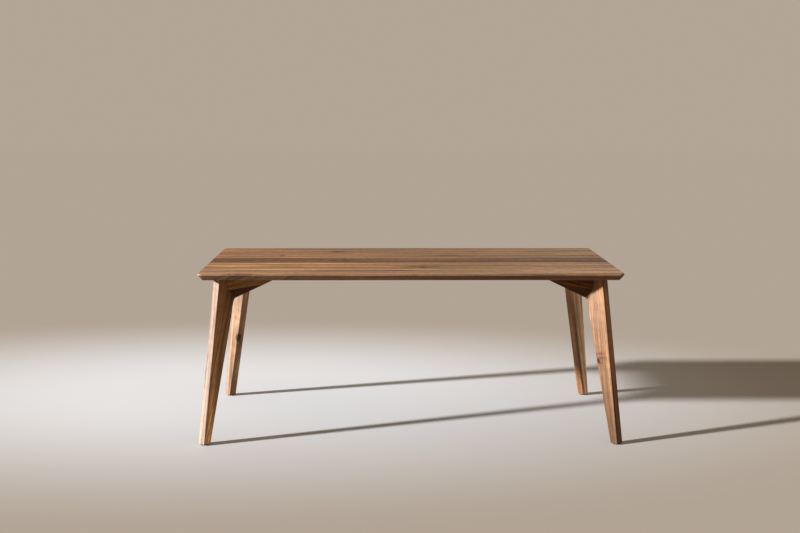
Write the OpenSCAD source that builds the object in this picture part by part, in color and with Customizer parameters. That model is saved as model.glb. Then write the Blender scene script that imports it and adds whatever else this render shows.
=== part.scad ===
// Rectangular dining table in solid walnut: an edge-glued top with a bevel under its rim,
// four tapering legs set on the diagonals of the corners, and two bracing arms on each leg.
// Origin on the floor under the middle of the top, X along the table, Y to the back, Z up.

/* [Table] */
// Length of the top
table_l = 1800; // [1500:10:2400]
// Depth of the top, across its staves
table_d = 900; // [820:10:1100]
// Height of the top surface above the floor
table_h = 740; // [700:5:780]

/* [Tabletop] */
// Thickness of the top
top_t = 29; // [26:1:40]
// Height of the upright band along the upper part of the rim
edge_flat = 7; // [4:1:12]
// How far the bevel under the rim runs in
bevel_in = 19; // [10:1:28]
// Plan radius that the corners keep at the underside
corner_under_r = 3; // [1:1:12]

/* [Legs] */
// Thickness of the leg, across the diagonal
leg_t = 38; // [32:1:46]
// Width of the leg along the diagonal at its foot
foot_len = 34; // [26:1:46]
// Distance of the foot's centre from the two edges of the top
foot_inset = 15; // [8:1:40]
// How far the outer edge leans in along the diagonal, foot to top
outer_lean = 99; // [60:1:130]
// Width of the leg at the top, as its straight edges give it
leg_top_w = 99; // [84:1:120]
// Height below the top's underside at which the inner edge turns into its flare
flare_drop = 111; // [95:1:130]
// Slope of the flare from the horizontal
flare_angle = 45; // [38:1:55]
// Radius of the hollow between the inner edge and the flare
flare_r = 85; // [40:5:120]
// How far below that turn the chamfers on the inner edge run out
chamfer_len = 55; // [20:5:100]
// Turn of those chamfers from the leg's wide face
chamfer_angle = 23; // [12:1:35]

/* [Arms] */
// Thickness of an arm
arm_t = 40; // [36:1:46]
// Distance of an arm's outer face from the edge of the top
arm_inset = 90; // [84:1:100]
// Distance of an arm's tip from the end of the top that it runs away from
arm_reach = 322; // [300:2:380]
// Height of the tip
arm_tip_h = 4; // [3:1:8]
// Slope of the lower edge from the horizontal
arm_slope = 26.2; // [23:0.2:28]
// Distance from the tip to the start of the bevel on the outer face
arm_bevel_start = 34; // [24:1:80]
// Height from the top's underside to the bevel's upper line, at the leg
arm_bevel_drop = 50; // [44:1:56]
// Undercut of that bevel from the upright
arm_bevel_angle = 30; // [15:1:34]

/* [Arm dowels] */
// Diameter of a dowel
dowel_d = 10; // [8:1:12]
// How deep a dowel sits in the leg
dowel_in_leg = 15; // [12:1:15]
// How deep a dowel sits in the arm
dowel_in_arm = 17; // [12:1:20]
// Distance of the dowels from the arm's inner face
dowel_back = 8; // [7:0.5:10]
// Height of the upper dowel below the top's underside
dowel_drop = 27; // [22:1:30]
// Distance between the two dowels
dowel_pitch = 33; // [28:1:36]

/* [Leg plates] */
// Thickness of a leg plate
plate_t = 5; // [4:0.5:6]
// Distance of a plate from the edges of the top
plate_from = 100; // [98:1:106]
// Side of the square that a plate is cut from
plate_side = 172; // [160:1:190]
// Cut across the plate's outer corner
plate_outer_clip = 16; // [8:1:24]
// Cut across the plate's inner corner
plate_inner_clip = 44; // [20:1:60]

/* [Plate bolts] */
// Diameter of a bolt
bolt_d = 8; // [6:1:8]
// Length of a bolt under its head
bolt_l = 20; // [17:1:22]
// Diameter of a bolt's head
bolt_head_d = 14; // [12:0.5:15]
// Height of a bolt's head
bolt_head_h = 4.4; // [3:0.2:5]
// Hexagon socket of a bolt, across its corners
bolt_socket = 5.8; // [4:0.2:7]
// Distance of the bolts from the plate's inner edges
bolt_edge = 22; // [16:1:26]
// Distance of the nearer bolts from the arms' inner faces
bolt_near = 22; // [16:1:26]
// Distance between the two bolts on one edge
bolt_pitch = 53; // [40:1:58]
// Diameter of a washer
washer_d = 20; // [16:1:22]
// Thickness of a washer
washer_t = 1.6; // [1.2:0.2:2]
// Outer diameter of a threaded insert
insert_d = 12; // [11:0.5:14]
// Length of a threaded insert
insert_l = 16; // [15:1:18]

/* [Plate screws] */
// Diameter of a wood screw
screw_d = 5; // [4:0.5:6]
// Length of a wood screw
screw_l = 34; // [25:1:38]
// Diameter of its countersunk head
screw_head_d = 10; // [9:0.5:11]
// Distance of the arms' screws from the edges of the plate
screw_edge = 12; // [10:1:16]
// Distance from the plate's outer edge to the first screw along an arm
screw_first = 75; // [65:1:80]
// Distance between the two screws of an arm
screw_pitch = 60; // [50:1:65]
// Distance of the leg's outer screw from the plate's edges
leg_screw_outer = 12; // [10:1:16]
// Distance of the leg's inner screw from the plate's edges
leg_screw_inner = 65; // [58:1:68]

/* [Stiffeners] */
// Width of a stiffening channel
bar_w = 30; // [24:1:36]
// Height of a stiffening channel
bar_h = 12; // [9:1:14]
// Wall of a stiffening channel
bar_wall = 3; // [2:0.5:3.5]
// Distance of a channel's ends from the edges of the top
bar_end = 60; // [50:5:70]
// Distance from the middle channel to the outer ones
bar_pitch = 400; // [300:5:450]
// Length of the screws' slots, centre to centre
bar_slot = 8; // [4:1:12]

/* [Stiffener screws] */
// Diameter of a screw
stiff_screw_d = 6; // [5:1:6]
// Length of a screw under its head
stiff_screw_l = 14; // [12:1:15]
// Diameter of a screw's head
stiff_head_d = 12; // [11:0.5:14]
// Height of a screw's head
stiff_head_h = 3.4; // [2.4:0.2:4]
// Outer diameter of a threaded insert
stiff_insert_d = 9; // [8:0.5:11]
// Length of a threaded insert
stiff_insert_l = 12; // [11:1:13]

/* [Glides] */
// Diameter of a glide
glide_d = 30; // [26:1:34]
// Thickness of a glide
glide_t = 5; // [4:0.5:8]
// Chamfer round a glide's lower rim
glide_chamfer = 1; // [0.5:0.5:2]
// Diameter of a glide's screw
glide_screw_d = 4; // [3:0.5:5]
// Length of a glide's screw under its head
glide_screw_l = 25; // [18:1:32]
// Diameter of the glide screw's head
glide_head_d = 8; // [7:0.5:9]
// Height of the glide screw's head
glide_head_h = 1.8; // [1.4:0.2:2.2]

/* [Hidden] */
$fn = 48;

// All round clearance of bolts, dowels, inserts and plates in their seats
fit = 0.1;
// Clearance of bolts, washers and screws in the holes of metal and plastic pieces
hole_gap = 0.3;
// Space left at the blind end of a bore
end_gap = 1;
// Overrun of every cut
over = 2;
// Steps of the arc in a leg's outline
arc_steps = 12;

// Width of each stave from the front to the back, as shares of the depth
stave_shares = [0.18, 0.23, 0.17, 0.21, 0.21];
// Shades of the staves and of the other woods, front to back
stave_tones = ["#8a6148", "#a87a54", "#6a5040", "#9a6e4e", "#a0764f"];
leg_tone = "#7a5236";
arm_tone = "#5c3d28";
dowel_tone = "#c8a878";

under_z = table_h - top_t;
corner_r = bevel_in + corner_under_r;

// Front edge of each stave, and its back edge as the next entry
function shares_before(i) = i == 0 ? 0 : shares_before(i - 1) + stave_shares[i - 1];
function stave_y(i) = -table_d / 2 + shares_before(i) * table_d;
function stave_mid(i) = (stave_y(i) + stave_y(i + 1)) / 2;
STAVES = [0 : len(stave_shares) - 1];

// Outline of a leg in its own diagonal plane, from the corner of the top inwards
foot_u = foot_inset * sqrt(2);
leg_rise = under_z - glide_t;
inner_lean = outer_lean + leg_top_w - foot_len;
inner_slope = atan2(leg_rise, inner_lean);
turn_u = foot_u + foot_len / 2 + inner_lean * (leg_rise - flare_drop) / leg_rise;
turn_z = under_z - flare_drop;
chamfer_u = turn_u - chamfer_len / tan(inner_slope);
flare_u = turn_u + flare_drop / tan(flare_angle);
tangent = flare_r * tan((inner_slope - flare_angle) / 2);
arc_u = turn_u - tangent * cos(inner_slope) + flare_r * sin(inner_slope);
arc_z = turn_z - tangent * sin(inner_slope) - flare_r * cos(inner_slope);
function arc_at(i) = inner_slope + (flare_angle - inner_slope) * i / arc_steps;
leg_outline = concat(
    [[foot_u - foot_len / 2, glide_t], [foot_u + foot_len / 2, glide_t]],
    [for (i = [0 : arc_steps]) [arc_u - flare_r * sin(arc_at(i)), arc_z + flare_r * cos(arc_at(i))]],
    [[flare_u, under_z], [foot_u - foot_len / 2 + outer_lean, under_z]]);

// Difference between X and Y on the face of a leg, measured from the corner of the top
face_xy = leg_t / sqrt(2);
// Where an arm's outer face meets the leg, and how far down its lower edge is at a place
arm_root_x = arm_inset + face_xy;
function arm_drop(x) = arm_tip_h + (arm_reach - x) * tan(arm_slope);
bevel_x = arm_reach - arm_bevel_start;
bevel_drop = arm_drop(bevel_x);
bevel_line = atan2(arm_bevel_drop - bevel_drop, bevel_x - arm_root_x);

// Places on a plate, from the corner of the top
plate_to = plate_from + plate_side;
bolt_far = plate_to - bolt_edge;
bolt_close = arm_inset + arm_t + bolt_near;
bolt_places = [[bolt_far, bolt_close], [bolt_close, bolt_far],
    [bolt_far, bolt_close + bolt_pitch], [bolt_close + bolt_pitch, bolt_far]];
leg_screws = [for (d = [leg_screw_outer, leg_screw_inner]) [plate_from + d, plate_from + d]];
long_screws = [for (d = [0, screw_pitch]) [plate_from + screw_first + d, plate_from + screw_edge]];
side_screws = [for (p = long_screws) [p[1], p[0]]];
screw_places = concat(leg_screws, long_screws, side_screws);

// Where the dowels enter the face of the leg
dowel_y = arm_inset + arm_t - dowel_back;
dowel_heights = [under_z - dowel_drop, under_z - dowel_drop - dowel_pitch];
bar_places = [-bar_pitch, 0, bar_pitch];
bar_l = table_d - 2 * bar_end;

// Carries a piece drawn from the front left corner of the top to another corner
module at_corner(right, back) {
    mirror([right, 0, 0]) mirror([0, back, 0])
        translate([-table_l / 2, -table_d / 2, 0]) children();
}

module at_corners() {
    for (right = [0, 1], back = [0, 1]) at_corner(right, back) children();
}

// Turns the long side into the short side, about the diagonal of the corner
module about_diagonal() {
    mirror([1, -1, 0]) children();
}

// Half of the rim's section, measured out from the middle of the top
function rim_outline(half) = [[-half + bevel_in, under_z], [half - bevel_in, under_z],
    [half, table_h - edge_flat], [half, table_h], [-half, table_h], [-half, table_h - edge_flat]];

// The whole top before it is parted into staves
module top_blank() {
    difference() {
        intersection() {
            rotate([90, 0, 90]) linear_extrude(table_l, center = true) polygon(rim_outline(table_d / 2));
            rotate([90, 0, 0]) linear_extrude(table_d, center = true) polygon(rim_outline(table_l / 2));
        }
        at_corners() translate([-over, -over, under_z - over])
            cube([corner_r + over, corner_r + over, top_t + 2 * over]);
    }
    at_corners() intersection() {
        translate([corner_r, corner_r, 0]) rotate_extrude() polygon([[0, under_z],
            [corner_under_r, under_z], [corner_r, table_h - edge_flat], [corner_r, table_h], [0, table_h]]);
        translate([0, 0, under_z]) cube([corner_r, corner_r, top_t]);
    }
}

// Section of the seat of a stiffening channel, which is let into the underside
module bar_section(gap) {
    difference() {
        translate([-bar_w / 2 - gap, 0]) square([bar_w + 2 * gap, bar_h + gap]);
        translate([-bar_w / 2 + bar_wall + gap, bar_wall + gap])
            square([bar_w - 2 * bar_wall - 2 * gap, bar_h + over]);
    }
}

module bar_solid(x, length, gap) {
    translate([x, 0, under_z]) rotate([90, 0, 0])
        linear_extrude(length, center = true) bar_section(gap);
}

// Everything that is cut out of the top from below
module top_cuts() {
    at_corners() for (p = bolt_places) translate([p[0], p[1], under_z - over])
        cylinder(d = insert_d + 2 * fit, h = insert_l + end_gap + over);
    for (x = bar_places) {
        bar_solid(x, bar_l + 2 * fit, fit);
        translate([x - bar_w / 2, -bar_l / 2, under_z - over]) cube([bar_w, bar_l, over + bar_wall]);
        for (i = STAVES) translate([x, stave_mid(i), under_z])
            cylinder(d = stiff_insert_d + 2 * fit, h = bar_wall + stiff_insert_l + end_gap);
    }
}

module stave(i) {
    color(stave_tones[i]) difference() {
        intersection() {
            top_blank();
            translate([-table_l / 2 - over, stave_y(i), under_z - over])
                cube([table_l + 2 * over, stave_y(i + 1) - stave_y(i), top_t + 2 * over]);
        }
        top_cuts();
    }
}

module stave_front() stave(0);
module stave_front_inner() stave(1);
module stave_middle() stave(2);
module stave_back_inner() stave(3);
module stave_back() stave(4);

module plate_outline(gap) {
    low = plate_from - gap;
    high = plate_to + gap;
    polygon([[low + plate_outer_clip, low], [high, low], [high, high - plate_inner_clip],
        [high - plate_inner_clip, high], [low, high], [low, low + plate_outer_clip]]);
}

// Seat of the plate and pilot bores of its screws, cut out of a leg or an arm
module plate_seat(places) {
    translate([0, 0, under_z - plate_t]) linear_extrude(plate_t + over) plate_outline(fit);
    for (p = places) translate([p[0], p[1], under_z - screw_l - end_gap])
        cylinder(d = screw_d + 2 * fit, h = screw_l + end_gap);
}

// A dowel or its bore, square to the face of the leg, in the long side's arm
module dowel(z, gap, spare) {
    translate([dowel_y + face_xy, dowel_y, z]) rotate([0, 0, -45]) rotate([0, 90, 0])
        translate([0, 0, -dowel_in_leg - spare])
            cylinder(d = dowel_d + 2 * gap, h = dowel_in_leg + dowel_in_arm + 2 * spare);
}

module dowel_bores() {
    for (z = dowel_heights) dowel(z, fit, end_gap);
}

// An arm's board with its bevel, before it is mitred
module arm_blank(from_x, thick) {
    difference() {
        translate([0, arm_inset + thick, 0]) rotate([90, 0, 0]) linear_extrude(thick)
            polygon([[from_x, under_z], [arm_reach, under_z], [arm_reach, under_z - arm_tip_h],
                [from_x, under_z - arm_drop(from_x)]]);
        translate([bevel_x, arm_inset, under_z - bevel_drop])
            rotate([0, -bevel_line, 0]) rotate([arm_bevel_angle, 0, 0])
                translate([-arm_reach, -arm_reach, -arm_reach])
                    cube([2 * arm_reach, arm_reach, 2 * arm_reach]);
    }
}

// The chamfer beside the hollow, which runs out downwards and stops against the arm
module chamfer_cut() {
    difference() {
        rotate([0, 0, 45]) translate([chamfer_u, -leg_t / 2, 0]) rotate([0, 0, chamfer_angle])
            translate([0, -leg_t, 0]) cube([arm_reach, leg_t, under_z]);
        arm_blank(arm_inset, arm_reach);
    }
}

module leg() {
    color(leg_tone) difference() {
        rotate([0, 0, 45]) rotate([90, 0, 0])
            linear_extrude(leg_t, center = true) polygon(leg_outline);
        chamfer_cut();
        about_diagonal() chamfer_cut();
        plate_seat(leg_screws);
        dowel_bores();
        about_diagonal() dowel_bores();
        translate([foot_inset, foot_inset, 0])
            cylinder(d = glide_screw_d + 2 * fit, h = glide_t + glide_screw_l + end_gap);
    }
}

module leg_front_left() at_corner(0, 0) leg();
module leg_front_right() at_corner(1, 0) leg();
module leg_back_left() at_corner(0, 1) leg();
module leg_back_right() at_corner(1, 1) leg();

// The arm of the long side: a tapering board mitred against the face of the leg
module arm() {
    color(arm_tone) difference() {
        arm_blank(arm_root_x, arm_t);
        rotate([0, 0, 45]) translate([0, -leg_t / 2, 0]) cube([table_d, table_d, table_h]);
        plate_seat(long_screws);
        dowel_bores();
    }
}

module long_arm_front_left() at_corner(0, 0) arm();
module long_arm_front_right() at_corner(1, 0) arm();
module long_arm_back_left() at_corner(0, 1) arm();
module long_arm_back_right() at_corner(1, 1) arm();
module side_arm_front_left() at_corner(0, 0) about_diagonal() arm();
module side_arm_front_right() at_corner(1, 0) about_diagonal() arm();
module side_arm_back_left() at_corner(0, 1) about_diagonal() arm();
module side_arm_back_right() at_corner(1, 1) about_diagonal() arm();

module leg_plate() {
    color("#3c3d40") difference() {
        translate([0, 0, under_z - plate_t]) linear_extrude(plate_t) plate_outline(0);
        for (p = bolt_places) translate([p[0], p[1], under_z - plate_t - over])
            cylinder(d = bolt_d + 2 * hole_gap, h = plate_t + 2 * over);
        for (p = screw_places) {
            translate([p[0], p[1], under_z - plate_t - over])
                cylinder(d = screw_d + 2 * hole_gap, h = plate_t + 2 * over);
            translate([p[0], p[1], under_z - screw_head_h - hole_gap])
                cylinder(d1 = screw_d + 2 * hole_gap, d2 = screw_head_d + 2 * hole_gap,
                    h = screw_head_h + hole_gap);
        }
    }
}

module leg_plate_front_left() at_corner(0, 0) leg_plate();
module leg_plate_front_right() at_corner(1, 0) leg_plate();
module leg_plate_back_left() at_corner(0, 1) leg_plate();
module leg_plate_back_right() at_corner(1, 1) leg_plate();

// Height of a countersunk head of ninety degrees
screw_head_h = (screw_head_d - screw_d) / 2;

module arm_dowels() {
    color(dowel_tone) at_corners() for (z = dowel_heights) {
        dowel(z, 0, 0);
        about_diagonal() dowel(z, 0, 0);
    }
}

module plate_screws() {
    color("#b0a070") at_corners() for (p = screw_places) translate([p[0], p[1], 0]) difference() {
        union() {
            translate([0, 0, under_z - screw_l]) cylinder(d = screw_d, h = screw_l - screw_head_h);
            translate([0, 0, under_z - screw_head_h])
                cylinder(d1 = screw_d, d2 = screw_head_d, h = screw_head_h);
        }
        translate([0, 0, under_z - screw_head_h / 2])
            cylinder(d = screw_d / 2, h = screw_head_h, $fn = 6);
    }
}

module plate_bolts() {
    head_z = under_z - plate_t - washer_t;
    color("#2c2c2e") at_corners() for (p = bolt_places) translate([p[0], p[1], 0]) difference() {
        union() {
            translate([0, 0, head_z]) cylinder(d = bolt_d, h = bolt_l);
            translate([0, 0, head_z - bolt_head_h]) cylinder(d = bolt_head_d, h = bolt_head_h);
        }
        translate([0, 0, head_z - bolt_head_h - over])
            cylinder(d = bolt_socket, h = bolt_head_h / 2 + over, $fn = 6);
    }
}

module bolt_washers() {
    color("#9a9c9e") at_corners() for (p = bolt_places)
        translate([p[0], p[1], under_z - plate_t - washer_t]) difference() {
            cylinder(d = washer_d, h = washer_t);
            translate([0, 0, -over]) cylinder(d = bolt_d + 2 * hole_gap, h = washer_t + 2 * over);
        }
}

module bolt_inserts() {
    color("#b8965a") at_corners() for (p = bolt_places)
        translate([p[0], p[1], under_z]) difference() {
            cylinder(d = insert_d, h = insert_l);
            translate([0, 0, -over]) cylinder(d = bolt_d + 2 * fit, h = insert_l + 2 * over);
        }
}

// A channel with one slot for each stave, so that the top can swell and shrink over it
module stiffener(x) {
    slot_d = stiff_screw_d + 2 * hole_gap;
    color("#4a4c50") difference() {
        bar_solid(x, bar_l, 0);
        for (i = STAVES) translate([x, stave_mid(i), under_z - over]) {
            for (side = [-1, 1]) translate([0, side * bar_slot / 2, 0])
                cylinder(d = slot_d, h = bar_wall + 2 * over);
            translate([-slot_d / 2, -bar_slot / 2, 0]) cube([slot_d, bar_slot, bar_wall + 2 * over]);
        }
    }
}

module stiffener_left() stiffener(bar_places[0]);
module stiffener_middle() stiffener(bar_places[1]);
module stiffener_right() stiffener(bar_places[2]);

module stiffener_screws() {
    color("#2c2c2e") for (x = bar_places, i = STAVES)
        translate([x, stave_mid(i), under_z]) difference() {
            union() {
                cylinder(d = stiff_screw_d, h = stiff_screw_l);
                translate([0, 0, -stiff_head_h]) cylinder(d = stiff_head_d, h = stiff_head_h);
            }
            translate([0, 0, -stiff_head_h - over])
                cylinder(d = stiff_screw_d / 2, h = stiff_head_h / 2 + over, $fn = 6);
        }
}

module stiffener_inserts() {
    color("#b8965a") for (x = bar_places, i = STAVES)
        translate([x, stave_mid(i), under_z + bar_wall + fit]) difference() {
            cylinder(d = stiff_insert_d, h = stiff_insert_l);
            translate([0, 0, -over])
                cylinder(d = stiff_screw_d + 2 * fit, h = stiff_insert_l + 2 * over);
        }
}

module glide() {
    color("#18181a") translate([foot_inset, foot_inset, 0]) rotate_extrude() polygon([
        [glide_head_d / 2 + hole_gap, 0], [glide_d / 2 - glide_chamfer, 0],
        [glide_d / 2, glide_chamfer], [glide_d / 2, glide_t],
        [glide_screw_d / 2 + hole_gap, glide_t], [glide_screw_d / 2 + hole_gap, glide_t / 2],
        [glide_head_d / 2 + hole_gap, glide_t / 2]]);
}

module glide_front_left() at_corner(0, 0) glide();
module glide_front_right() at_corner(1, 0) glide();
module glide_back_left() at_corner(0, 1) glide();
module glide_back_right() at_corner(1, 1) glide();

module glide_screws() {
    color("#9a9c9e") at_corners() translate([foot_inset, foot_inset, glide_t / 2]) {
        cylinder(d = glide_screw_d, h = glide_screw_l);
        translate([0, 0, -glide_head_h]) cylinder(d = glide_head_d, h = glide_head_h);
    }
}

stave_front();
stave_front_inner();
stave_middle();
stave_back_inner();
stave_back();
leg_front_left();
leg_front_right();
leg_back_left();
leg_back_right();
long_arm_front_left();
long_arm_front_right();
long_arm_back_left();
long_arm_back_right();
side_arm_front_left();
side_arm_front_right();
side_arm_back_left();
side_arm_back_right();
leg_plate_front_left();
leg_plate_front_right();
leg_plate_back_left();
leg_plate_back_right();
glide_front_left();
glide_front_right();
glide_back_left();
glide_back_right();
stiffener_left();
stiffener_middle();
stiffener_right();
arm_dowels();
plate_screws();
plate_bolts();
bolt_washers();
bolt_inserts();
stiffener_screws();
stiffener_inserts();
glide_screws();
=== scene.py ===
"""Looks of a rectangular walnut dining table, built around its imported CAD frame."""
import math
from collections import namedtuple
import bmesh
import bpy
from mathutils import Matrix, Vector


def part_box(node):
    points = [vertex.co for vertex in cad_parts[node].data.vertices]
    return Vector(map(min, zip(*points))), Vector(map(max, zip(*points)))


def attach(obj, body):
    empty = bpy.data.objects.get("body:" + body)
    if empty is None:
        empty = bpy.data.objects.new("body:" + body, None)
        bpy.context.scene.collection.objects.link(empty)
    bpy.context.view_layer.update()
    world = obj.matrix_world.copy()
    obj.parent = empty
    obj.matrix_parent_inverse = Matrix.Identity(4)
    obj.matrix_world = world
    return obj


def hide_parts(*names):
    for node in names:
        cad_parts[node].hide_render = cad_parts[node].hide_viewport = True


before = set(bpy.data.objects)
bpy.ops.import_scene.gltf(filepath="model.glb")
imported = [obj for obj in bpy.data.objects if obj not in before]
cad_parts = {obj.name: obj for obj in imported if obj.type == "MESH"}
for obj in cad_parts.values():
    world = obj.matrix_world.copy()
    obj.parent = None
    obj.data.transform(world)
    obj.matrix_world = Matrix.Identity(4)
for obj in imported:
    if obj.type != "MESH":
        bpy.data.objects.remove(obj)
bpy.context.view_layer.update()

# The table's corners, with the signs of their X and Y
CORNERS = {"front_left": (-1, -1), "front_right": (1, -1), "back_left": (-1, 1), "back_right": (1, 1)}
STAVES = ["stave_front", "stave_front_inner", "stave_middle", "stave_back_inner", "stave_back"]
X_AXIS, Y_AXIS, Z_AXIS = Vector((1, 0, 0)), Vector((0, 1, 0)), Vector((0, 0, 1))

# Sizes read from the frame, in metres
front_low, front_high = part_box("stave_front")
TOP_X, TOP_Y = front_high.x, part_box("stave_back")[1].y
TOP_Z, UNDER_Z = front_high.z, front_low.z
SEAMS = [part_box(name)[0].y for name in STAVES[1:]]
PLATE_SEAT_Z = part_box("leg_plate_front_left")[0].z
FOOT_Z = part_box("leg_front_left")[0].z
LEG_RISE = round(UNDER_Z - FOOT_Z, 4)

# The lines of a leg's outer and inner thin face, on the corner's diagonal: how far in from the top's corner
# each one stands at the foot, and how far it leans in from there to the height of the top's underside
LEG_OUTER, LEG_INNER = (0.0042, 0.099), (0.0382, 0.164)

# Where a leg's middle is taken to be, from the thin face that its grain follows, and half its thickness
LEG_MIDDLE, LEG_HALF_THICK = 0.055, 0.019

# Roundings of the wood's edges
RIM_EASE, LEG_EASE, ARM_EASE = 0.0015, 0.0022, 0.0018

# Camera, fitted to the top's edges and the feet, and how far it sees
CAMERA_AT = (-0.1146, -5.3561, 1.4516)
CAMERA_DOWN, CAMERA_RIGHT, CAMERA_ROLL = math.radians(7.882), math.radians(0.774), math.radians(0.084)
FOCAL_PIXELS, FRAME_WIDTH, SENSOR = 1181.2, 800, 36.0
SEES_TO = 100

# Light
SUN_FROM = Vector((-0.894, -0.325, 0.309))
SUN_POWER, SUN_ANGLE, SUN_COLOUR = 10.5, math.radians(3), (0.97, 0.98, 1)
SURROUND = (0.450, 0.380, 0.310)

# Floor: a painted pool of light, pale round the table and longer in X, darkening from the pool's inner reach
# to its outer one
FLOOR_PALE, FLOOR_FAR, FLOOR_ROUGH = (0.56, 0.565, 0.575), (0.306, 0.266, 0.224), 0.9
FLOOR_REACH, POOL_STRETCH, POOL_INNER, POOL_OUTER = 30.0, 1.7, 0.3, 2.1
POOL_AT = (-0.9, 0.5, 0)


def make_camera():
    """Puts the camera at the photograph's viewing point."""
    data = bpy.data.cameras.new("camera")
    data.sensor_width = SENSOR
    data.lens = SENSOR * FOCAL_PIXELS / FRAME_WIDTH
    data.clip_end = SEES_TO
    camera = bpy.data.objects.new("camera", data)
    bpy.context.scene.collection.objects.link(camera)
    turn = Matrix.Rotation(-CAMERA_RIGHT, 3, "Z")
    forward = turn @ Vector((0, math.cos(CAMERA_DOWN), -math.sin(CAMERA_DOWN)))
    right = turn @ X_AXIS
    up = right.cross(forward)
    right, up = (right * math.cos(CAMERA_ROLL) + up * math.sin(CAMERA_ROLL),
                 up * math.cos(CAMERA_ROLL) - right * math.sin(CAMERA_ROLL))
    camera.matrix_world = Matrix.Translation(CAMERA_AT) @ Matrix((right, up, -forward)).transposed().to_4x4()
    bpy.context.scene.camera = camera


def make_lights():
    """A low sun from the left and a little in front, and a warm surround."""
    key = bpy.data.lights.new("key", "SUN")
    key.energy, key.angle, key.color = SUN_POWER, SUN_ANGLE, SUN_COLOUR
    lamp = bpy.data.objects.new("key", key)
    lamp.rotation_euler = (-SUN_FROM).to_track_quat("-Z", "Y").to_euler()
    bpy.context.scene.collection.objects.link(lamp)
    world = bpy.data.worlds.new("surround")
    world.use_nodes = True
    world.node_tree.nodes["Background"].inputs["Color"].default_value = (*SURROUND, 1)
    bpy.context.scene.world = world
    bpy.context.scene.view_settings.view_transform = "Standard"


def make_floor():
    """A wide floor with a painted pool of light round the table, darker far from it."""
    mesh = bpy.data.meshes.new("floor")
    corners = [(x * FLOOR_REACH, y * FLOOR_REACH, 0) for x, y in ((-1, -1), (1, -1), (1, 1), (-1, 1))]
    mesh.from_pydata(corners, [], [(0, 1, 2, 3)])
    floor = bpy.data.objects.new("floor", mesh)
    bpy.context.scene.collection.objects.link(floor)
    graph = Graph("floor")
    place = graph.vector("SUBTRACT", graph.node("TexCoord").outputs["Object"], POOL_AT)
    away = graph.vector("LENGTH", graph.vector("MULTIPLY", place, (1 / POOL_STRETCH, 1, 1)))
    far = graph.node("MapRange", {"interpolation_type": "SMOOTHSTEP"},
                     Value=away, From_Min=POOL_INNER, From_Max=POOL_OUTER)
    colour = graph.mix("MIX", far.outputs["Result"], FLOOR_PALE, FLOOR_FAR)
    graph.surface(**{"Base Color": colour, "Roughness": FLOOR_ROUGH, "Specular IOR Level": 0.0})
    mesh.materials.append(graph.material)


# Shading helpers

# Places of a Mix node's colours among its sockets
MIX_A, MIX_B, MIX_RESULT = 6, 7, 2


class Graph:
    """A material's node tree, with short calls for the nodes used here."""

    def __init__(self, name):
        self.material = bpy.data.materials.new(name)
        self.material.use_nodes = True
        self.tree = self.material.node_tree
        self.tree.nodes.clear()

    def put(self, socket, value):
        """Links a socket to another one, or sets it to a plain value."""
        if isinstance(value, bpy.types.NodeSocket):
            self.tree.links.new(value, socket)
        elif socket.type == "RGBA" and len(value) == 3:
            socket.default_value = (*value, 1)
        else:
            socket.default_value = value

    def node(self, kind, settings=None, **inputs):
        """Adds a node. An input's name has an underscore where the socket's has a space."""
        made = self.tree.nodes.new("ShaderNode" + kind)
        for key, value in (settings or {}).items():
            setattr(made, key, value)
        for key, value in inputs.items():
            self.put(made.inputs[key.replace("_", " ")], value)
        return made

    def math(self, operation, *values, clamp=False):
        made = self.node("Math", {"operation": operation, "use_clamp": clamp})
        for socket, value in zip(made.inputs, values):
            self.put(socket, value)
        return made.outputs[0]

    def vector(self, operation, *values):
        made = self.node("VectorMath", {"operation": operation})
        for socket, value in zip(made.inputs, values):
            self.put(socket, value)
        return made.outputs["Value" if operation in ("DOT_PRODUCT", "LENGTH") else "Vector"]

    def combine(self, x, y, z):
        return self.node("CombineXYZ", X=x, Y=y, Z=z).outputs[0]

    def noise(self, vector, scale=1.0, detail=2.0, roughness=0.5):
        return self.node("TexNoise", {"normalize": True}, Vector=vector, Scale=scale, Detail=detail,
                         Roughness=roughness).outputs["Fac"]

    def swing(self, fac, size):
        """Turns a noise of mean one half into one of mean zero with the given size."""
        return self.math("MULTIPLY", self.math("SUBTRACT", fac, 0.5), 2 * size)

    def about(self, middle, swing, size):
        """A value near its middle, which a swing of mean zero moves, times the size."""
        return self.math("MULTIPLY_ADD", swing, size, middle)

    def ramp(self, fac, stops, smooth=False):
        """A colour ramp, whose stops hold a grey or a colour each."""
        made = self.node("ValToRGB", Fac=fac)
        band = made.color_ramp
        band.interpolation = "EASE" if smooth else "LINEAR"
        while len(band.elements) < len(stops):
            band.elements.new(0.5)
        for element, (place, shade) in zip(band.elements, stops):
            element.position = place
            element.color = (*shade, 1) if hasattr(shade, "__len__") else (shade, shade, shade, 1)
        return made.outputs["Color"]

    def mix(self, blend, fac, a, b):
        made = self.node("Mix", {"data_type": "RGBA", "blend_type": blend})
        self.put(made.inputs["Factor"], fac)
        self.put(made.inputs[MIX_A], a)
        self.put(made.inputs[MIX_B], b)
        return made.outputs[MIX_RESULT]

    def bump(self, height, strength, distance):
        return self.node("Bump", Height=height, Strength=strength, Distance=distance).outputs["Normal"]

    def surface(self, **inputs):
        """Ends the tree in a principled shader with the given inputs."""
        shader = self.tree.nodes.new("ShaderNodeBsdfPrincipled")
        for key, value in inputs.items():
            self.put(shader.inputs[key], value)
        out = self.tree.nodes.new("ShaderNodeOutputMaterial")
        self.tree.links.new(shader.outputs[0], out.inputs["Surface"])


def srgb(red, green, blue):
    """Linear colour of an eight-bit display colour."""
    shares = (red / 255, green / 255, blue / 255)
    return tuple(part / 12.92 if part <= 0.04045 else ((part + 0.055) / 1.055) ** 2.4 for part in shares)


def scaled(colour, factor):
    return tuple(part * factor for part in colour)


# Wood

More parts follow.
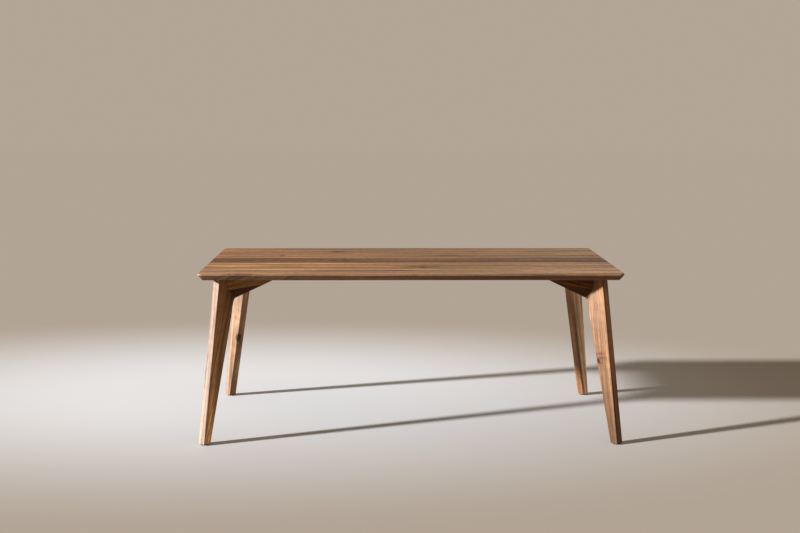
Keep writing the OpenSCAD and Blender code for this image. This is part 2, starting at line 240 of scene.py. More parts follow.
# A mark is a soft streak: its middle along and across the board, its half length and half width, and its
# tint. One that doesn't run through the board has a level out of its face and a half thickness too, and one
# with a slope rises out of the board along the grain.
Mark = namedtuple("Mark", "along across long wide tint out thick slope", defaults=(0.0, math.inf, 0.0))

# A knot's place along and across the board and out of its face, and its size. A bend is a knot without its
# colour: it only turns the rings.
Knot = namedtuple("Knot", "along across out size")

PLAIN, FAINT = (1, 1, 1), (0.94, 0.94, 0.94)
WOOD_GLOSS, WOOD_ROUGH = 0.28, 0.56

# What a board looks like, where its own look doesn't say otherwise. The colours of its early and its late
# wood are always its own, and so is its seed, which shifts its noises. Lengths are in metres, tints are
# factors on the colour, and the rest are shares.
WOOD_LOOK = dict(
    # Width and strength of the rings
    rings=0.006, ring_depth=0.85,
    # The pith's place beside the board's middle and out of its face, how far the rings rise along the board,
    # how far the grain sways, and how far it slants on the wide faces
    pith=(0.01, -0.10), taper=0.012, sway=0.010, slant=0.0,
    # Width and strength of the zones, and strengths of broad and narrow streaks, curl and fine lines
    zone_width=0.014, zones=0.9, streaks=0.62, narrow=0.62, curl=0.35, fine=0.9,
    # Tints of the darkest and the palest zones and streaks
    dark=(0.55, 0.49, 0.44), light=(1.40, 1.33, 1.20),
    # Tints from one end of the board to the other, if any, and a tint that comes in between two depths
    along=(), deep=PLAIN, deep_at=(0.006, 0.010),
    # Tint of the thin faces, which may come in from one place across the board to another, and of chamfers
    edge=PLAIN, edge_ends=(), chamfer=PLAIN,
    marks=(), knots=(), bends=(), gloss=WOOD_GLOSS)

# Each noise of the figure: a shift that keeps it apart from the others, its turns in a metre along and
# across the grain, its detail and its roughness
FIELDS = dict(
    sway=(3.1, 1.1, 3.0, 1.0, 0.5),
    waver=(7.7, 5.0, 26.0, 2.0, 0.5),
    lift=(11.3, 1.6, 4.0, 1.0, 0.5),
    streaks=(17.9, 1.3, 24.0, 3.0, 0.55),
    narrow=(53.3, 3.5, 95.0, 2.0, 0.6),
    curl=(61.1, 38.0, 16.0, 2.0, 0.6),
    fine=(23.3, 6.0, 330.0, 3.0, 0.65),
    fibre=(31.7, 30.0, 1400.0, 1.0, 0.5),
    pores=(41.9, 24.0, 760.0, 1.0, 0.5))

# Size of the quick wavering of the grain, as a share of its sway
WAVER_SHARE = 0.2

# The shade of one ring across its width, from early wood at 0 to late wood at 1, how uneven the rings are in
# width, and how faint the faintest is
RING_SHADES = ((0.0, 0.30), (0.10, 0.0), (0.60, 0.30), (0.92, 1.0), (1.0, 0.40))
UNEVEN_TURNS, UNEVEN_SIZE, FAINTEST_RING = 45.0, 1.6, 0.25

# Where zones and streaks turn from dark to light in their noise, and the tints of curl, lines and fibres at
# places in theirs
ZONE_STOPS, STREAK_STOPS = (0.32, 0.5, 0.66), (0.34, 0.46, 0.54, 0.66)
CURL_TINTS = ((0.34, (0.70, 0.66, 0.64)), (0.5, PLAIN), (0.66, (1.22, 1.18, 1.12)))
FINE_TINTS = ((0.3, (0.70, 0.66, 0.63)), (0.5, PLAIN), (0.7, (1.18, 1.16, 1.12)))
FIBRE_TINTS, FIBRE_SHARE = ((0.3, 0.84), (0.7, 1.12)), 0.5

# Pores: where their noise makes one, how far it takes on its own colour, and that colour as a share of the
# late wood's
PORE_STOPS, PORE_SHARE, PORE_DARK = ((0.60, 0.0), (0.70, 1.0)), 0.55, 0.4

# Roughness from pores and fibres, the relief of a fibre beside a pore's, and how strong and deep it all is
PORE_ROUGH, FIBRE_ROUGH, FIBRE_RELIEF = 0.14, 0.05, 0.35
RELIEF, RELIEF_DEPTH = 0.35, 0.00025

# How far a knot bends the rings, along and across the grain, and reaches as a halo and as a core, and how
# far it pushes the rings aside, all in its own sizes
BEND_REACH, HALO_REACH, CORE_REACH, BEND_PUSH = (3.0, 1.4), (2.2, 1.2), (0.9, 0.7), 1.2
HALO_TINT, CORE_TINT = (0.70, 0.62, 0.60), (0.24, 0.13, 0.09)
CORE_STOPS = ((0.3, 0.0), (0.6, 1.0))

# How squarely a face looks across the board, where it turns into a thin face, and where it is a chamfer
THIN_FACING = (0.6, 0.8)
CHAMFER_FACING = ((0.2, 0.0), (0.3, 1.0), (0.5, 1.0), (0.6, 0.0))


class Board:
    """A board's axes (along its grain, across it, out of its face), its ends along and its middle across."""

    def __init__(self, origin, grain, face, ends=(0.0, 1.0), middle=0.0):
        self.origin, self.grain, self.face = origin, grain.normalized(), face.normalized()
        self.side = self.face.cross(self.grain).normalized()
        self.ends, self.middle = ends, middle


class Wood(Graph):
    """Wood from one board. Its rings run about a pith beside the board, so all its faces agree."""

    def __init__(self, name, board, look):
        super().__init__(name)
        self.board, self.look = board, {**WOOD_LOOK, **look}
        # A point's place along the grain, straight across it and out of the face
        place = self.vector("SUBTRACT", self.node("TexCoord").outputs["Object"], tuple(board.origin))
        self.along = self.vector("DOT_PRODUCT", place, tuple(board.grain))
        self.straight = self.vector("DOT_PRODUCT", place, tuple(board.side))
        self.out = self.vector("DOT_PRODUCT", place, tuple(board.face))
        # How squarely the surface looks across the board
        normal = self.node("TexCoord").outputs["Normal"]
        self.facing = self.math("ABSOLUTE", self.vector("DOT_PRODUCT", normal, tuple(board.side)))
        self.wander()
        self.rings()
        self.broad_figure()
        self.fine_figure()

    def field(self, name):
        """One of the figure's noises, drawn out along the grain."""
        shift, along, across, detail, roughness = FIELDS[name]
        spot = self.combine(self.math("MULTIPLY_ADD", self.along, along, self.look["seed"] + shift),
                            self.math("MULTIPLY", self.across, across),
                            self.math("MULTIPLY", self.out, across))
        return self.noise(spot, detail=detail, roughness=roughness)

    def tint(self, fac, tints):
        """Multiplies the colour by tints, as far as fac says."""
        self.colour = self.mix("MULTIPLY", fac, self.colour, tints)

    def share(self, distance, ends):
        """A distance on the board as a share of the way from one end to the other."""
        reach = ends[1] - ends[0]
        return self.math("MULTIPLY_ADD", distance, 1 / reach, -ends[0] / reach, clamp=True)

    def wander(self):
        """Lets the grain wander a little across the board and out of it, and slants it on the wide faces."""
        sway = self.look["sway"]
        self.across = self.straight
        slow = self.swing(self.field("sway"), sway)
        quick = self.swing(self.field("waver"), sway * WAVER_SHARE)
        lift = self.swing(self.field("lift"), sway)
        self.wandering = self.math("ADD", self.straight, self.math("ADD", slow, quick))
        self.across = self.wandering
        if self.look["slant"]:
            wide = self.share(self.facing, THIN_FACING[::-1])
            slant = self.math("MULTIPLY", wide, -self.look["slant"])
            self.across = self.math("MULTIPLY_ADD", self.along, slant, self.wandering)
        rise = self.math("MULTIPLY_ADD", self.along, self.look["taper"], lift)
        self.ring_level = self.math("ADD", rise, self.out)

    def lobe(self, along, across, long, wide, out=0.0, thick=math.inf, slope=0.0):
        """One at a place in the board, fading to zero over the given lengths."""
        level = self.math("MULTIPLY_ADD", self.along, -slope, self.out) if slope else self.out
        spot = self.vector("MULTIPLY_ADD", self.combine(self.along, self.wandering, level),
                           (1 / long, 1 / wide, 1 / thick),
                           (-along / long, -across / wide, (slope * along - out) / thick))
        return self.math("EXPONENT", self.math("MULTIPLY", self.vector("DOT_PRODUCT", spot, spot), -1.0))

    def knot_lobe(self, knot, reach):
        """One at a knot, fading to zero over its reach, which is as thick as it is wide."""
        long, wide = knot.size * reach[0], knot.size * reach[1]
        return self.lobe(knot.along, knot.across, long, wide, knot.out, wide)

    def rings(self):
        """Growth rings of uneven width, bent round the knots, in wider zones of darker and paler wood."""
        look = self.look
        pith = (look["pith"][0] + self.board.middle, look["pith"][1], 0.0)
        spot = self.combine(self.across, self.ring_level, 0.0)
        radius = self.vector("LENGTH", self.vector("SUBTRACT", spot, pith))
        for knot in (*look["knots"], *look["bends"]):
            bend = self.knot_lobe(knot, BEND_REACH)
            radius = self.math("MULTIPLY_ADD", bend, knot.size * BEND_PUSH, radius)
        years = self.combine(radius, 0.0, look["seed"])
        uneven = self.swing(self.noise(years, scale=UNEVEN_TURNS, detail=1.0), UNEVEN_SIZE)
        count = self.math("MULTIPLY_ADD", radius, 1 / look["rings"], uneven)
        shade = self.ramp(self.math("FRACT", count), RING_SHADES)
        number = self.math("FLOOR", count)
        chance = self.node("TexWhiteNoise", {"noise_dimensions": "1D"}, W=number).outputs["Value"]
        depth = self.math("MULTIPLY_ADD", chance, 1 - FAINTEST_RING, FAINTEST_RING)
        weight = self.math("MULTIPLY", depth, look["ring_depth"])
        self.colour = self.mix("MIX", self.math("MULTIPLY", shade, weight), look["early"], look["late"])
        zone = self.noise(years, scale=1 / look["zone_width"])
        tints = tuple(zip(ZONE_STOPS, (look["dark"], PLAIN, look["light"])))
        self.tint(look["zones"], self.ramp(zone, tints))

    def broad_figure(self):
        """Changes along the board, into it and on its thin faces, then streaks, curl, marks and knots."""
        look = self.look
        if look["along"]:
            self.tint(1.0, self.ramp(self.share(self.along, self.board.ends), look["along"], smooth=True))
        if look["deep"] != PLAIN:
            depth = self.share(self.out, tuple(-below for below in look["deep_at"]))
            self.tint(1.0, self.ramp(depth, ((0.0, PLAIN), (1.0, look["deep"]))))
        if look["edge"] != PLAIN:
            thin = self.share(self.facing, THIN_FACING)
            if look["edge_ends"]:
                thin = self.math("MULTIPLY", thin, self.share(self.straight, look["edge_ends"]))
            self.tint(thin, look["edge"])
        if look["chamfer"] != PLAIN:
            self.tint(self.ramp(self.facing, CHAMFER_FACING), look["chamfer"])
        streaks = tuple(zip(STREAK_STOPS, (look["dark"], FAINT, PLAIN, look["light"])))
        self.tint(look["streaks"], self.ramp(self.field("streaks"), streaks))
        self.tint(look["narrow"], self.ramp(self.field("narrow"), streaks))
        self.tint(look["curl"], self.ramp(self.field("curl"), CURL_TINTS))
        for along, across, long, wide, tint, *level in look["marks"]:
            self.tint(self.lobe(along, across, long, wide, *level), tint)
        for knot in look["knots"]:
            self.tint(self.knot_lobe(knot, HALO_REACH), HALO_TINT)
            self.tint(self.ramp(self.knot_lobe(knot, CORE_REACH), CORE_STOPS), CORE_TINT)

    def fine_figure(self):
        """Fine lines, fibres and pores, with their roughness and relief."""
        look = self.look
        self.tint(look["fine"], self.ramp(self.field("fine"), FINE_TINTS))
        fibre = self.field("fibre")
        self.tint(FIBRE_SHARE, self.ramp(fibre, FIBRE_TINTS))
        pore = self.ramp(self.field("pores"), PORE_STOPS)
        pore_colour = scaled(look["late"], PORE_DARK)
        self.colour = self.mix("MIX", self.math("MULTIPLY", pore, PORE_SHARE), self.colour, pore_colour)
        height = self.math("SUBTRACT", self.math("MULTIPLY", fibre, FIBRE_RELIEF), pore)
        rough = self.math("ADD", self.swing(fibre, FIBRE_ROUGH), WOOD_ROUGH)
        rough = self.math("MULTIPLY_ADD", pore, PORE_ROUGH, rough)
        self.surface(**{"Base Color": self.colour, "Roughness": rough, "Specular IOR Level": look["gloss"],
                        "Normal": self.bump(height, RELIEF, RELIEF_DEPTH)})


# Eased copies of the wooden nodes

# Points closer than this are one, and faces that turn less than this are one flat face
SAME_POINT, FLAT_ANGLE = 1e-6, math.radians(0.4)

# Angles from which an edge is eased, and is shaded sharp, and the steps of its rounding
EDGE_ANGLE, SHARP_ANGLE, EASE_STEPS = math.radians(18), math.radians(28), 3

# Edges within this distance of the rim, in plan, belong to it, and edges this close to a seam lie on it
RIM_IN, ON_SEAM = 0.020, 1e-5

# Edges of faces under this area stay as they are, and so do a leg's short edges at the height of the dowels
SMALL_FACE, BORE_EDGE, DOWELS_Z = 4e-5, 0.01, (0.640, 0.700)

# A leg's edges stay as they are from this far below the plates' seats upward, and an arm's from this far
# below the top's underside
SEAT_CLEAR, UNDER_CLEAR = 0.001, 0.003


def eased(node, width, wanted):
    """Copies a node's solid, rounds the edges that wanted() picks, and puts the copy in its place."""
    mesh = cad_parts[node].data.copy()
    mesh.name = node + "_wood"
    piece = bpy.data.objects.new(node + "_wood", mesh)
    bpy.context.scene.collection.objects.link(piece)
    solid = bmesh.new()
    solid.from_mesh(mesh)
    bmesh.ops.remove_doubles(solid, verts=solid.verts, dist=SAME_POINT)
    bmesh.ops.dissolve_limit(solid, angle_limit=FLAT_ANGLE, verts=solid.verts, edges=solid.edges)
    picked = [edge for edge in solid.edges
              if edge.is_manifold and edge.calc_face_angle(0) > EDGE_ANGLE and wanted(edge)]
    bmesh.ops.bevel(solid, geom=picked, offset=width, offset_type="OFFSET", segments=EASE_STEPS, profile=0.5,
                    affect="EDGES", clamp_overlap=True)
    solid.to_mesh(mesh)
    solid.free()
    mesh.shade_smooth()
    mesh.set_sharp_from_angle(angle=SHARP_ANGLE)
    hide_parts(node)
    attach(piece, "root")
    return piece


def dress(piece, material):
    """Gives a new piece its material."""
    piece.data.materials.clear()
    piece.data.materials.append(material)


def on_rim(edge):
    """True for an edge of the top's rim that isn't part of a glue line."""
    ends = [vert.co for vert in edge.verts]
    middle = (ends[0] + ends[1]) / 2
    if any(all(abs(end.y - seam) < ON_SEAM for end in ends) for seam in SEAMS):
        return False
    return abs(middle.x) > TOP_X - RIM_IN or abs(middle.y) > TOP_Y - RIM_IN


def is_small(edge):
    return min(face.calc_area() for face in edge.link_faces) < SMALL_FACE


def on_leg(edge):
    """True for the long edges of a leg and the edges of its foot."""
    low = min(vert.co.z for vert in edge.verts)
    of_bore = DOWELS_Z[0] < low < DOWELS_Z[1] and edge.calc_length() < BORE_EDGE
    return low < PLATE_SEAT_Z - SEAT_CLEAR and not of_bore and not is_small(edge)


def on_arm(edge):
    """True for an arm's lower edges and the edges of its tip."""
    return min(vert.co.z for vert in edge.verts) < UNDER_Z - UNDER_CLEAR and not is_small(edge)


# The top

# Slanting dark and pale lines on the front bevel, by their place along it, and the levels of marks there.
# Along a stave is X, across it is Y, and out is up from the top's surface.
DARK_LINE, PALE_LINE = (0.40, 0.36, 0.34), (1.75, 1.70, 1.75)
BEVEL_LINES = ((-0.815, DARK_LINE), (-0.792, PALE_LINE), (-0.766, DARK_LINE), (-0.725, DARK_LINE),
               (-0.700, PALE_LINE), (-0.655, DARK_LINE), (-0.545, PALE_LINE), (-0.520, DARK_LINE))
BEVEL_LEVEL = dict(out=-0.018, thick=0.012)
LINE_LEVEL = dict(out=-0.0185, thick=0.0024, slope=0.42)

# Wood from six to ten millimetres below the top's surface down, on the bevel and the underside, is darker:
# partly the boards' heart side, partly painted shade on the downward-facing bevel
STAVE_LOOK = dict(deep=(0.48, 0.42, 0.33), streaks=0.56, narrow=0.56)
STAVE_LOOKS = {
    "stave_front": dict(
        early=srgb(150, 115, 86), late=srgb(84, 58, 42),
        pith=(0.03, -0.06), taper=0.02, rings=0.008, seed=2.3,
        along=((0.0, (0.87, 0.87, 0.85)), (0.5, (0.87, 0.89, 0.89)), (1.0, (1.10, 1.24, 1.36))),
        marks=(
            Mark(-0.60, -0.300, 0.25, 0.020, (2.60, 2.52, 2.40)),
            Mark(-0.22, -0.302, 0.26, 0.014, (1.42, 1.42, 1.38)),
            Mark(-0.18, -0.334, 0.26, 0.018, (1.36, 1.36, 1.34)),
            Mark(-0.36, -0.340, 0.08, 0.022, (0.78, 0.78, 0.78)),
            Mark(-0.66, -0.352, 0.20, 0.014, (0.80, 0.78, 0.76)),
            Mark(0.40, -0.334, 0.50, 0.008, (0.62, 0.60, 0.58)),
            Mark(0.62, -0.385, 0.22, 0.016, (1.32, 1.30, 1.22)),
            # The front bevel, dark and warm on the right, then a painted highlight, pale and bluish, on the
            # left end of the rim, and the front edge
            Mark(0.60, -0.445, 0.66, 0.040, (0.70, 0.42, 0.04), **BEVEL_LEVEL),
            Mark(-0.25, -0.445, 0.22, 0.040, (1.34, 1.30, 1.04), **BEVEL_LEVEL),
            Mark(-0.68, -0.445, 0.09, 0.040, (1.55, 1.52, 1.55), **BEVEL_LEVEL),
            Mark(-0.905, -0.440, 0.020, 0.060, (1.14, 1.40, 2.20), out=-0.014, thick=0.016),
            Mark(-0.50, -0.436, 0.34, 0.022, (0.86, 0.83, 0.80)),
            *(Mark(along, -0.450, 0.030, 0.040, tint, **LINE_LEVEL) for along, tint in BEVEL_LINES)),
        bends=(Knot(-0.72, -0.430, -0.006, 0.022), Knot(-0.50, -0.415, -0.004, 0.018))),
    "stave_front_inner": dict(
        early=srgb(146, 109, 76), late=srgb(84, 56, 36),
        pith=(-0.04, -0.16), taper=0.01, rings=0.007, seed=5.1,
        along=((0.0, (0.90, 0.87, 0.78)), (0.5, (0.86, 0.84, 0.75)), (1.0, (1.18, 1.31, 1.58))),
        marks=(
            Mark(-0.46, -0.118, 0.26, 0.017, (1.66, 1.63, 1.38)),
            Mark(-0.76, -0.203, 0.14, 0.017, (2.10, 2.02, 1.70)),
            Mark(-0.38, -0.208, 0.18, 0.016, (1.14, 1.06, 0.96)),
            Mark(-0.56, -0.163, 0.16, 0.014, (0.60, 0.54, 0.46)),
            Mark(-0.43, -0.258, 0.45, 0.017, (0.60, 0.56, 0.52)),
            Mark(0.05, -0.235, 0.06, 0.045, (0.60, 0.58, 0.56)),
            Mark(0.28, -0.195, 0.12, 0.012, (0.74, 0.74, 0.70)),
            Mark(0.55, -0.235, 0.35, 0.014, (1.28, 1.24, 1.22)),
            Mark(0.45, -0.150, 0.16, 0.020, (0.80, 0.78, 0.76))),
        knots=(Knot(0.055, -0.248, 0.0, 0.018),)),
    "stave_middle": dict(
        early=srgb(102, 74, 53), late=srgb(62, 42, 31),
        pith=(0.02, -0.09), taper=0.015, rings=0.007, seed=8.7,
        along=((0.0, (0.80, 0.55, 0.20)), (0.55, (0.92, 0.84, 0.68)), (1.0, (1.26, 1.32, 1.42))), curl=0.8,
        streaks=0.4, narrow=0.4,
        marks=(
            Mark(-0.28, -0.020, 0.035, 0.020, (0.45, 0.42, 0.42)),
            Mark(-0.34, -0.010, 0.02, 0.012, (0.60, 0.56, 0.56)),
            Mark(-0.75, -0.010, 0.04, 0.020, (0.52, 0.48, 0.48)),
            Mark(-0.53, -0.035, 0.14, 0.012, (1.60, 1.40, 1.30)),
            Mark(0.08, 0.052, 0.34, 0.022, (1.50, 1.42, 1.30)),
            Mark(-0.62, 0.060, 0.30, 0.006, (0.66, 0.62, 0.58)),
            Mark(0.80, 0.000, 0.26, 0.060, (0.84, 0.80, 0.86)))),
    "stave_back_inner": dict(
        early=srgb(140, 104, 73), late=srgb(82, 55, 36),
        pith=(0.05, -0.12), taper=0.012, rings=0.007, seed=12.9,
        along=((0.0, (1.00, 0.95, 0.80)), (0.5, (0.91, 0.90, 0.83)), (1.0, (1.09, 1.19, 1.30))),
        marks=(
            Mark(-0.52, 0.095, 0.25, 0.010, (1.30, 1.22, 1.06)),
            Mark(-0.63, 0.175, 0.06, 0.014, (0.52, 0.48, 0.46)),
            Mark(-0.15, 0.150, 0.45, 0.014, (0.84, 0.82, 0.80)),
            Mark(0.19, 0.160, 0.07, 0.035, (0.66, 0.60, 0.58)),
            Mark(0.42, 0.232, 0.18, 0.012, (1.32, 1.24, 1.20)),
            Mark(0.62, 0.163, 0.34, 0.008, (0.60, 0.60, 0.56))),
        knots=(Knot(-0.593, 0.171, 0.0, 0.012), Knot(0.177, 0.145, 0.0, 0.010))),
    "stave_back": dict(
        early=srgb(140, 105, 75), late=srgb(80, 56, 39),
        pith=(-0.02, -0.07), taper=0.018, rings=0.008, seed=16.1,
        along=((0.0, (0.95, 0.88, 0.77)), (0.45, (0.88, 0.88, 0.81)), (1.0, (1.08, 1.20, 1.23))),
        marks=(
            Mark(-0.45, 0.400, 0.28, 0.014, (0.70, 0.68, 0.68)),
            Mark(-0.34, 0.307, 0.05, 0.020, (0.60, 0.60, 0.54)),
            Mark(0.32, 0.300, 0.04, 0.020, (0.60, 0.60, 0.54)),
            Mark(0.61, 0.300, 0.07, 0.013, (0.56, 0.56, 0.52)),
            Mark(0.55, 0.385, 0.40, 0.030, (1.12, 1.14, 1.16)),
            Mark(-0.80, 0.320, 0.22, 0.040, (1.22, 1.12, 1.00))),
        knots=(Knot(-0.341, 0.307, 0.0, 0.016),)),
}


def dress_top():
    for node in STAVES:
        low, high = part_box(node)
        board = Board(Vector((0, 0, TOP_Z)), X_AXIS, Z_AXIS, (low.x, high.x), (low.y + high.y) / 2)
        wood = Wood(node + "_walnut", board, {**STAVE_LOOK, **STAVE_LOOKS[node]})
        dress(eased(node, RIM_EASE, on_rim), wood.material)


# Legs

# The corner whose leg's grain follows its inner thin face, where the others' follows the outer one
INNER_GRAIN = "back_right"

# Along a leg is up from its foot, across it is inward from the thin face that its grain follows, and out is
# from the middle of its thickness.
ON_FACE = dict(out=LEG_HALF_THICK, thick=0.012)
LEG_LOOK = dict(taper=0.01, sway=0.006)
LEG_LOOKS = {
    "front_left": dict(
        early=srgb(146, 103, 50), late=srgb(80, 50, 22), pith=(0.30, 0.05), rings=0.005, seed=21.0,
        # The dark chamfer tint is painted shade on the chamfer along the inner edge, beside the hollow
        zones=0.6, slant=0.14, narrow=0.85, chamfer=(0.30, 0.26, 0.18),
        # Pale sapwood on the outer thin face, with a painted highlight: its pale, bluish tint also stands in
        # for the washed-out look of that face in the sun
        edge=(0.98, 1.47, 4.7), edge_ends=(0.030, 0.014),
        along=((0.0, PLAIN), (0.65, PLAIN), (0.85, (0.97, 0.92, 0.92))),
        marks=(
            # Painted light: a pale, bluish patch low on the shaded wide face, near the foot
            Mark(0.03, 0.020, 0.25, 0.011, (2.70, 2.90, 4.60), out=-LEG_HALF_THICK, thick=0.012),
            Mark(0.04, 0.046, 0.12, 0.012, (0.80, 0.78, 0.82)),
            Mark(0.34, 0.048, 0.20, 0.008, (0.66, 0.60, 0.54)),
            # Painted shade: near-black wood in the hollow beside the arm
            Mark(0.625, 0.125, 0.060, 0.030, (0.30, 0.26, 0.11)),
            Mark(0.645, 0.070, 0.085, 0.026, (0.42, 0.38, 0.14)))),
    "front_right": dict(
        early=srgb(132, 97, 66), late=srgb(74, 48, 29), pith=(-0.12, 0.06), rings=0.005, seed=24.7,
        # The thin faces' darker, warmer tint is painted shade
        streaks=0.42, narrow=0.7, chamfer=(0.80, 0.74, 0.62), edge=(0.73, 0.64, 0.53),
        # Painted light and shade along the leg: darker towards the foot, brighter and bluer up to just below
        # the top's shadow on the leg, and warm and dark above it, in that shadow
        along=((0.0, (0.60, 0.55, 0.46)), (0.2, (0.69, 0.64, 0.54)), (0.55, (1.25, 1.26, 1.27)),
               (0.91, (1.42, 1.54, 1.84)), (0.96, (1.09, 0.95, 0.54))),
        marks=(
            Mark(0.33, 0.020, 0.12, 0.005, (0.66, 0.60, 0.56)),
            Mark(0.44, 0.036, 0.10, 0.003, (0.66, 0.62, 0.60)),
            # Dark wood beside the knot, and three fine lines across the grain
            Mark(0.374, 0.036, 0.026, 0.024, (0.78, 0.66, 0.70), **ON_FACE),
            Mark(0.391, 0.043, 0.0035, 0.026, (0.56, 0.42, 0.36), **ON_FACE),
            Mark(0.373, 0.038, 0.0035, 0.018, (0.56, 0.42, 0.36), **ON_FACE),
            Mark(0.350, 0.043, 0.0035, 0.012, (0.56, 0.38, 0.44), **ON_FACE),
            # The lower part of the outer thin face: a dark arris, a pale middle, and the wide face beside it
            Mark(0.12, 0.000, 0.13, 0.010, (0.30, 0.22, 0.18), out=0.013, thick=0.004),
            Mark(0.10, 0.000, 0.16, 0.010, (1.75, 1.36, 0.78), out=-0.005, thick=0.011),
            Mark(0.05, 0.005, 0.14, 0.010, (0.74, 0.74, 0.78), out=LEG_HALF_THICK, thick=0.010)),
        knots=(Knot(0.359, 0.057, LEG_HALF_THICK, 0.014),)),
    "back_left": dict(
        early=srgb(170, 139, 112), late=srgb(97, 74, 54), pith=(0.02, 0.30), rings=0.006, seed=28.4,
        # Painted shade: the thin faces' darker, warmer tint, and the darkening towards the top of the leg
        narrow=0.85, edge=(0.90, 0.72, 0.43),
        along=((0.0, PLAIN), (0.4, PLAIN), (0.8, (0.84, 0.85, 0.88))),
        marks=(Mark(0.10, 0.030, 0.12, 0.010, (0.74, 0.72, 0.68)),),
        knots=(Knot(0.313, 0.064, -0.011, 0.025),)),
    "back_right": dict(
        early=srgb(197, 162, 126), late=srgb(114, 85, 61), pith=(-0.14, -0.06), rings=0.006, seed=32.1,
        along=((0.0, (1.20, 1.27, 1.31)), (0.4, (1.02, 1.10, 1.17)), (0.65, (0.86, 0.88, 0.95)),
               (0.8, (1.02, 1.06, 1.10)), (1.0, (1.08, 1.05, 1.03))),
        # Painted shade: the thin faces' darker, warmer tint
        edge=(0.88, 0.60, 0.31),
        marks=(
            # Painted shade: a dark line along the arris of the inner thin face
            Mark(0.22, 0.000, 0.36, 0.0045, (0.14, 0.11, 0.10), out=0.018, thick=0.0055),
            # Paler low on a wide face, towards the foot
            Mark(0.06, -0.020, 0.28, 0.080, (1.46, 1.46, 1.48), out=LEG_HALF_THICK, thick=0.006),
            # The lower part of the inner thin face, darker at the foot
            Mark(0.07, 0.000, 0.14, 0.009, (0.24, 0.18, 0.15), out=0.016, thick=0.005),
            Mark(0.12, 0.004, 0.26, 0.014, (0.86, 0.90, 1.16), out=-0.006, thick=0.016),
            Mark(0.02, 0.004, 0.09, 0.016, (0.52, 0.50, 0.82), out=-0.004, thick=0.018),
            # A paler streak higher on that wide face, and a darker patch on the thin one
            Mark(0.50, -0.062, 0.20, 0.014, (1.26, 1.12, 1.16), out=LEG_HALF_THICK, thick=0.010),
            Mark(0.18, 0.000, 0.12, 0.010, (0.76, 0.62, 0.68), out=0.006, thick=0.008))),
}


def leg_board(x_sign, y_sign, thin_face, middle):
    """A leg's board: its grain follows one thin face, and it is measured up from the foot and inward."""
    foot_in, lean = thin_face
    inward = Vector((-x_sign, -y_sign, 0)).normalized()
    foot = Vector((x_sign * TOP_X, y_sign * TOP_Y, FOOT_Z)) + inward * foot_in
    grain = (Z_AXIS * LEG_RISE + inward * lean).normalized()
    side = (inward - grain * inward.dot(grain)).normalized()
    return Board(foot, grain, grain.cross(side), (0.0, LEG_RISE), middle)


def dress_legs():
    for corner, (x_sign, y_sign) in CORNERS.items():
        node = "leg_" + corner
        if corner == INNER_GRAIN:
            board = leg_board(x_sign, y_sign, LEG_INNER, -LEG_MIDDLE)
        else:
            board = leg_board(x_sign, y_sign, LEG_OUTER, LEG_MIDDLE)
        wood = Wood(node + "_walnut", board, {**LEG_LOOK, **LEG_LOOKS[corner]})
        dress(eased(node, LEG_EASE, on_leg), wood.material)


# Arms

# Painted shade: all are darkest away from their outer faces, on the facets below them, and those on the
# right have darker colours all over, with stronger streaks too
ARM_LOOK = dict(
    early=srgb(133, 95, 49), late=srgb(79, 54, 23), rings=0.005, pith=(0.05, -0.06), taper=0.03, sway=0.006,
    zone_width=0.01, deep=(0.25, 0.13, 0.02), deep_at=(0.001, 0.003), streaks=0.4, narrow=0.4, zones=0.5,
    gloss=0.10)
PALE_ARM = dict(marks=(Mark(0.10, 0.0, 0.06, 1.0, (1.24, 1.30, 1.50)),))
# The right arms: darker colours that are painted shade, and stronger streaks of grain
SHADED_STREAKY_ARM = dict(
    early=srgb(92, 58, 24), late=srgb(42, 25, 9), deep=(0.62, 0.52, 0.26), light=(1.9, 1.75, 1.5),
    streaks=0.9, narrow=0.9, zones=0.9)

# How far the grain rises from the level, and the first arm's seed and the step to the next one's
ARM_GRAIN_TILT = math.radians(14)
ARM_SEED, ARM_SEED_STEP = 40.0, 2.9


def arm_board(node, to_tip, face):
    """An arm's board. Its grain rises towards the tip. It is measured from the top of its outer face, at the
    left end of a long arm and the front end of a side arm."""
    grain = to_tip * math.cos(ARM_GRAIN_TILT) + Z_AXIS * math.sin(ARM_GRAIN_TILT)
    low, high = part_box(node)
    outer = Vector((high.x if face.x > 0 else low.x, high.y if face.y > 0 else low.y, UNDER_Z))
    return Board(outer, grain, face)


def dress_arms():
    seed = ARM_SEED
    for corner, (x_sign, y_sign) in CORNERS.items():
        arms = (("long_arm_", -x_sign * X_AXIS, y_sign * Y_AXIS),
                ("side_arm_", -y_sign * Y_AXIS, x_sign * X_AXIS))
        for stem, to_tip, face in arms:
            node = stem + corner
            own = SHADED_STREAKY_ARM if "right" in node else PALE_ARM
            wood = Wood(node + "_walnut", arm_board(node, to_tip, face), {**ARM_LOOK, **own, "seed": seed})
            dress(eased(node, ARM_EASE, on_arm), wood.material)
            seed += ARM_SEED_STEP


# Metal, plastic and dowels

COAT_DARK, COAT_PALE, COAT_ROUGH = (0.018, 0.018, 0.020), (0.032, 0.032, 0.034), 0.52
NYLON_DARK, NYLON_PALE, NYLON_ROUGH = (0.006, 0.006, 0.006), (0.018, 0.017, 0.016), 0.55

# Turns in a metre of the coat's peel, the nylon's grain and scuffs, and a metal's scratches and clouds, and
# how dark a cloud is
PEEL_TURNS, GRAIN_TURNS, SCUFF_TURNS = 900.0, 1500.0, 90.0
SCRATCH_TURNS, CLOUD_TURNS, CLOUD_DARK = (900.0, 900.0, 60.0), 120.0, 0.82

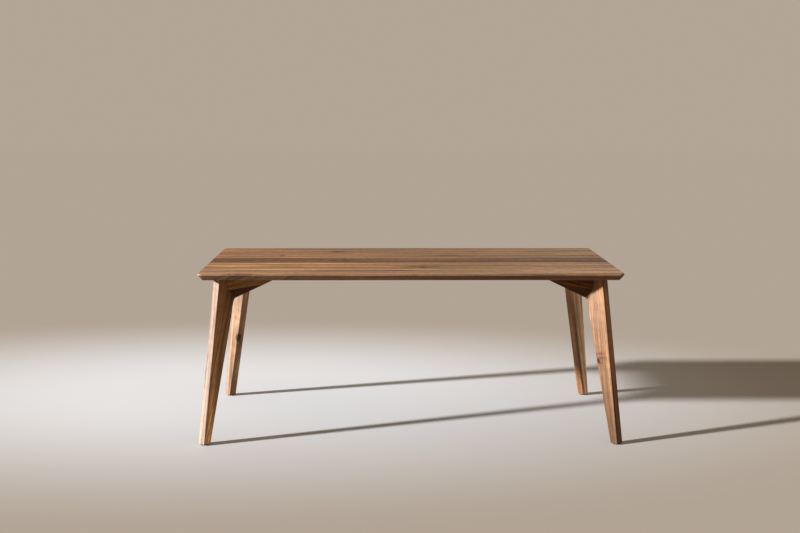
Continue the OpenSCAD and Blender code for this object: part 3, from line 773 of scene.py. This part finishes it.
# Each metal's colour, its roughness and the nodes made of it
METALS = {
    "black_oxide": ((0.035, 0.034, 0.033), 0.42, ("plate_bolts", "stiffener_screws")),
    "zinc": ((0.62, 0.62, 0.60), 0.34, ("plate_screws", "bolt_washers", "glide_screws")),
    "brass": ((0.74, 0.58, 0.30), 0.30, ("bolt_inserts", "stiffener_inserts")),
}
BEECH = dict(early=srgb(214, 178, 136), late=srgb(182, 142, 100), seed=70.0)


def fine_spots(graph, turns):
    place = graph.node("TexCoord").outputs["Object"]
    return graph.swing(graph.noise(place, scale=turns, detail=3.0), 1.0)


def powder_coat():
    """Black powder coat with its fine orange peel."""
    graph = Graph("powder_coat")
    peel = fine_spots(graph, PEEL_TURNS)
    tone = graph.mix("MIX", graph.about(0.5, peel, size=0.3), COAT_DARK, COAT_PALE)
    graph.surface(**{"Base Color": tone, "Roughness": graph.about(COAT_ROUGH, peel, size=0.05),
                     "Normal": graph.bump(peel, strength=0.25, distance=0.0002)})
    return graph.material


def plated(name, colour, rough):
    """Plated or turned metal with faint streaks from its making."""
    graph = Graph(name)
    place = graph.node("TexCoord").outputs["Object"]
    scratch = graph.swing(graph.noise(graph.vector("MULTIPLY", place, SCRATCH_TURNS)), 1.0)
    cloud = graph.noise(place, scale=CLOUD_TURNS)
    tone = graph.mix("MIX", cloud, scaled(colour, CLOUD_DARK), colour)
    graph.surface(**{"Base Color": tone, "Metallic": 1.0,
                     "Roughness": graph.about(rough, scratch, size=0.08),
                     "Normal": graph.bump(scratch, strength=0.1, distance=0.0001)})
    return graph.material


def nylon():
    """Black moulded nylon, a little scuffed."""
    graph = Graph("nylon")
    grain = fine_spots(graph, GRAIN_TURNS)
    scuff = fine_spots(graph, SCUFF_TURNS)
    tone = graph.mix("MIX", graph.about(0.4, scuff, size=0.5), NYLON_DARK, NYLON_PALE)
    graph.surface(**{"Base Color": tone, "Roughness": graph.about(NYLON_ROUGH, scuff, size=0.08),
                     "Specular IOR Level": 0.25,
                     "Normal": graph.bump(grain, strength=0.2, distance=0.0001)})
    return graph.material


def keep(material, *nodes):
    """Gives CAD nodes whose shape is right their finished material."""
    for node in nodes:
        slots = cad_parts[node].data.materials
        for place in range(len(slots)):
            slots[place] = material


def dress_hardware():
    coat = powder_coat()
    keep(coat, *("leg_plate_" + corner for corner in CORNERS))
    keep(coat, "stiffener_left", "stiffener_middle", "stiffener_right")
    for name, (colour, rough, nodes) in METALS.items():
        keep(plated(name, colour, rough), *nodes)
    keep(nylon(), *("glide_" + corner for corner in CORNERS))
    board = Board(Vector((0, 0, 0)), Z_AXIS, Y_AXIS)
    keep(Wood("beech", board, BEECH).material, "arm_dowels")


make_camera()
make_lights()
make_floor()
dress_top()
dress_legs()
dress_arms()
dress_hardware()
